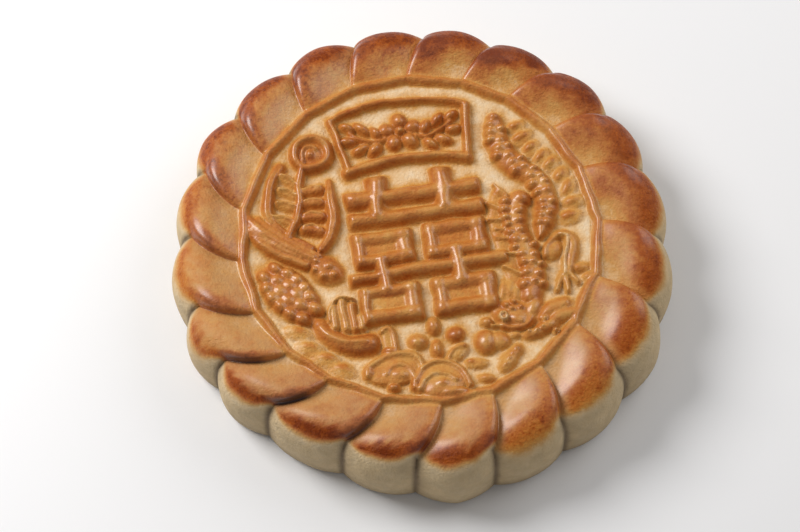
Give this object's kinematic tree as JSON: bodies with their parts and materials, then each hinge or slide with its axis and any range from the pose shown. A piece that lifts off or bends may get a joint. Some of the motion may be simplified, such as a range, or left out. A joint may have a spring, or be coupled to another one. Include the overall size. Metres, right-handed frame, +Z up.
{
  "type": "wedding pastry",
  "caption": "Large round moulded wedding pastry: overlapping glazed petals round a beaded medallion of raised traditional ornament, on a flat underside.",
  "frame": {"origin": "middle of the flat underside, halfway between the outermost petals along X and along Y", "axes": "+Z up out of the moulded face; +Y towards the top of the upright emblem, +X towards the dragon"},
  "size_m": [0.224, 0.2248, 0.0389],
  "materials": {
    "baked_dough": "egg-glazed baked dough: glossy browned relief and petal tops over pale cream ground and wall"
  },
  "bodies": {
    "root": {"pastry": "baked_dough"}
  },
  "joints": []
}
